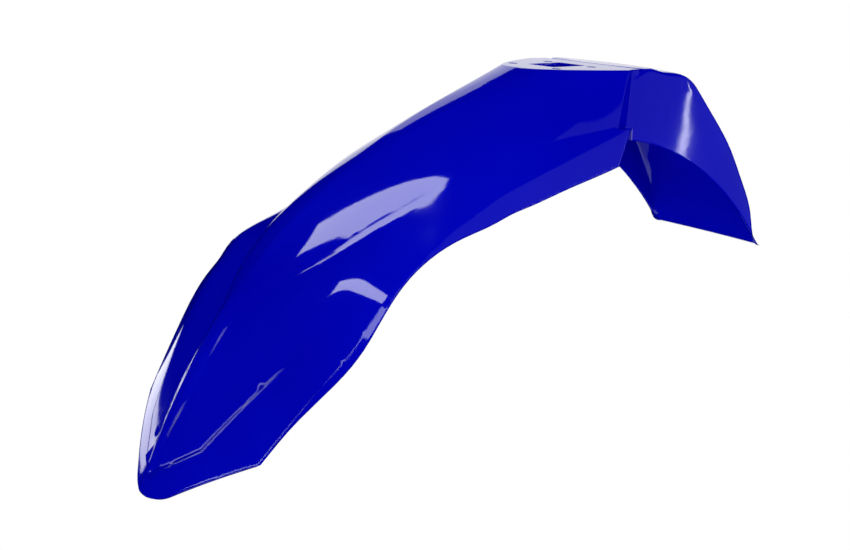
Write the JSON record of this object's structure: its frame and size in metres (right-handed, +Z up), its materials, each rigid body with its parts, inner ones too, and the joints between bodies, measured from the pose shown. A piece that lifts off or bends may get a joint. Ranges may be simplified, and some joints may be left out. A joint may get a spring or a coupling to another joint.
{
  "type": "motorcycle front mudguard",
  "caption": "Moulded motorcycle front mudguard: arched hood with flared wings and a pointed nose panel, a flat bolted clamp face with a window, and a drooping tail.",
  "frame": {"origin": "centre of the bolt pattern, on the flat clamp face", "axes": "+X forwards to the nose, +Y to the rider's left, +Z up, square to the clamp face"},
  "size_m": [0.6634, 0.2072, 0.2913],
  "materials": {
    "shell": "gloss, moulded in blue"
  },
  "bodies": {
    "root": {"mudguard_shell": "shell"}
  },
  "joints": []
}
